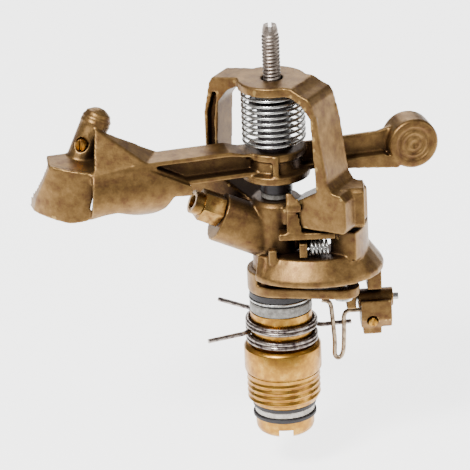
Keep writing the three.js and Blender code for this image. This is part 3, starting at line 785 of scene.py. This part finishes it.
class SPRINKLER_OT_collars(bpy.types.Operator):
    """Winds the two stop collars and bends the trip wire"""

    bl_idname = "sprinkler.collars"
    bl_label = "Collars and trip wire"

    def execute(self, context):
        collar("upper_stop_collar", 31.95, 190, 126, 23)
        collar("lower_stop_collar", 28.05, 75, -4, 20.2)
        z = TRIP_HEIGHT - 3.6
        route = [(28, z), (21.5, z), (19, z - 0.1), (17.9, z - 1.6), (17.8, 30), (17.5, 24), (16.9, 21.6),
                 (15.8, 20.8), (14.9, 22), (15, 26), (14.6, 33), (14.2, 37.2), (13.3, 38.5), (11.7, 38.9)]
        points = smooth_path([polar(TRIP, radius, height) for radius, height in route])
        give(wire_piece("trip_wire_hairpin", points, 1.3, "trip_wire"), "trip_wire", "trip", "trip_wire")
        return {"FINISHED"}


def collar(node, low, low_leg, high_leg, leg_radius):
    """A collar of two and a bit turns round the sleeve's neck, with a leg at each end."""
    sweep = 720 + low_leg - high_leg
    high = low + COLLAR_PITCH * sweep / 360
    turns = [polar(math.radians(low_leg - 9 - (sweep - 18) * i / 72), COLLAR_RADIUS, low + (high - low) * i / 72)
             for i in range(73)]
    low_angle, high_angle = math.radians(low_leg), math.radians(high_leg)
    points = [polar(low_angle, leg_radius, low), polar(low_angle, 14.5, low), polar(low_angle, 11.9, low), *turns,
              polar(high_angle, 11.9, high), polar(high_angle, 14.5, high), polar(high_angle, leg_radius, high)]
    obj = wire_piece(node + "_wire", smooth_path(points, 3), 1.3, "dark_wire")
    give(obj, node, body_holding(node))


class SPRINKLER_OT_body(bpy.types.Operator):
    """Casts the body with its bridge, and fits the nozzle, the fulcrum pin and the lever's pin"""

    bl_idname = "sprinkler.body"
    bl_label = "Body, nozzle and pins"

    def execute(self, context):
        extras = []
        across = Vector((-math.sin(NEAR_LEG), math.cos(NEAR_LEG), 0))
        for side in (-6.0, 6.0):
            # A raised edge runs up each side of the near leg's outer face.
            aside = across * side
            extras.append(rod_mesh(polar(NEAR_LEG, 19.1, 82) + aside,
                                   polar(NEAR_LEG, 16.5, 99.5) + aside, 0.7, sides=12))
        give(cast_piece("body_cast", "body_casting", extras), "body_casting", "head")
        self.pin()
        for node, name in (("nozzle", "nozzle_turned"), ("lever_pivot_pin", "lever_pin_turned"),
                           ("trip_pivot_pin", "trip_pin_turned"), ("trip_clamp_screw", "trip_screw_turned"),
                           ("vane_adjusting_screw", "vane_screw_turned")):
            slot = "aged_brass" if node == "nozzle" else None
            give(machined(name, node), node, body_holding(node), slot)
        return {"FINISHED"}

    def pin(self):
        low, high = heights("fulcrum_pin")
        radius = radius_of("fulcrum_pin")

        def outside(z):
            if z > high - 3.4:
                return radius - 0.75 * (z - high + 3.4) / 3.4
            return radius

        mesh = threaded_mesh("fulcrum_pin_threaded", None, outside, low, high, sizes().pin_pitch, 0.34,
                             (low, high - 1.6), sides=48, steps=8)
        obj = new_object("fulcrum_pin_threaded", mesh)
        slot = box_mesh((-0.45, 0.45), (-4, 4), (high - 1.5, high + 1), Matrix.Rotation(FRONT, 4, "Z"))
        cut_with(obj, [slot])
        smooth_by_angle(obj.data, 50)
        give(obj, "fulcrum_pin", "head", "dull_steel")


def machined(name, node, bevel=0.14):
    """A small machined part: its CAD node with every sharp edge broken."""
    bm = bmesh.new()
    bm.from_mesh(frame["nodes"][node].data)
    bmesh.ops.remove_doubles(bm, verts=bm.verts, dist=1e-6)
    bmesh.ops.dissolve_limit(bm, angle_limit=math.radians(1), verts=bm.verts, edges=bm.edges)
    mesh = bpy.data.meshes.new(name)
    bm.to_mesh(mesh)
    bm.free()
    obj = new_object(name, mesh)
    broken = obj.modifiers.new("broken edges", "BEVEL")
    broken.width = bevel * MM
    broken.segments = 2
    broken.limit_method = "ANGLE"
    broken.angle_limit = math.radians(40)
    settle(obj)
    smooth_by_angle(obj.data, 32)
    return obj


class SPRINKLER_OT_arm(bpy.types.Operator):
    """Casts the drive arm with its spoon and weight, and winds its spring on the bushing"""

    bl_idname = "sprinkler.arm"
    bl_label = "Drive arm and spring"

    def execute(self, context):
        weight_x = span("arm_casting")[1][0] - WEIGHT_RADIUS
        extras = []
        for side in (-1, 1):
            for radius in (5.3, 3.4, 1.5):
                face = (weight_x, side * WEIGHT_FACE, WEIGHT_HEIGHT)
                extras.append(ring_mesh(face, (0, 1, 0), radius, 0.5))
        for lift in (-0.4, 1.0, 2.4):
            # Three rings on the domed head of the boss.
            shrink = math.sqrt(max(0.2, BOSS_RADIUS ** 2 - max(0, lift) ** 2))
            centre = BOSS_HEAD + BOSS_AXIS * lift
            extras.append(ring_mesh(centre, BOSS_AXIS, shrink - 0.12, 0.36))
        give(cast_piece("arm_cast", "arm_casting", extras), "arm_casting", "arm")
        self.bushing()
        self.spring()
        return {"FINISHED"}

    def bushing(self):
        low, high = heights("arm_bushing")
        flange_r = radius_of("arm_bushing")
        outline = eased([(2.9, low), (4.7, low), (4.7, high - 1.5), (flange_r, high - 1.5), (flange_r, high),
                         (2.9, high)], 0.18)
        obj = new_object("arm_bushing_moulded", turned_mesh("arm_bushing_moulded", outline, 72))
        give(obj, "arm_bushing", "arm")

    def spring(self):
        s = sizes()
        low, high = ARM_COIL_ENDS
        radius = radius_of("arm_spring") - s.arm_wire / 2
        points = helix(radius, low, high, s.arm_turns)
        obj = wire_piece("arm_spring_wire", points, s.arm_wire, "spring_steel")
        give(obj, "arm_spring", None)
        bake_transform(obj)


class SPRINKLER_OT_trip(bpy.types.Operator):
    """Casts the reversing lever and the trip block, and winds the trip spring"""

    bl_idname = "sprinkler.trip"
    bl_label = "Trip mechanism"

    def execute(self, context):
        lever = cast_piece("reversing_lever_cast", "reversing_lever", grain=0.3, rounding_passes=16)
        give(lever, "reversing_lever", "lever")
        give(cast_piece("trip_block_cast", "trip_block", grain=0.22), "trip_block", "trip")
        turn = Matrix.Rotation(FRONT, 4, "Z")
        c = TRIP_COIL
        coil = [turn @ Vector((p.z, -c["toward"] + p.y, c["height"] - p.x))
                for p in helix(c["radius"], c["start"], c["end"], c["turns"])]
        obj = wire_piece("trip_spring_wire", coil, c["wire"], "spring_steel")
        give(obj, "trip_spring", None)
        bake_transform(obj)
        return {"FINISHED"}


class SPRINKLER_PT_panel(bpy.types.Panel):
    """Lists the sprinkler's sizes and its building steps"""

    bl_idname = "SPRINKLER_PT_panel"
    bl_label = "Impact Sprinkler"
    bl_space_type = "VIEW_3D"
    bl_region_type = "UI"
    bl_category = "Sprinkler"

    def draw(self, context):
        for group in (context.scene.sprinkler_sizes, context.scene.sprinkler_colours):
            box = self.layout.box()
            for name in group.__annotations__:
                box.prop(group, name)
        for step in STEPS:
            self.layout.operator(step.bl_idname)


STEPS = (SPRINKLER_OT_stage, SPRINKLER_OT_bearing, SPRINKLER_OT_collars, SPRINKLER_OT_body, SPRINKLER_OT_arm,
         SPRINKLER_OT_trip)
CLASSES = (SprinklerSizes, SprinklerColours, *STEPS, SPRINKLER_PT_panel)


def register():
    for cls in CLASSES:
        bpy.utils.register_class(cls)
    bpy.types.Scene.sprinkler_sizes = bpy.props.PointerProperty(type=SprinklerSizes)
    bpy.types.Scene.sprinkler_colours = bpy.props.PointerProperty(type=SprinklerColours)


def unregister():
    del bpy.types.Scene.sprinkler_sizes
    del bpy.types.Scene.sprinkler_colours
    for cls in reversed(CLASSES):
        bpy.utils.unregister_class(cls)


def main():
    register()
    for step in STEPS:
        family, action = step.bl_idname.split(".")
        getattr(getattr(bpy.ops, family), action)()


if __name__ == "__main__":
    main()
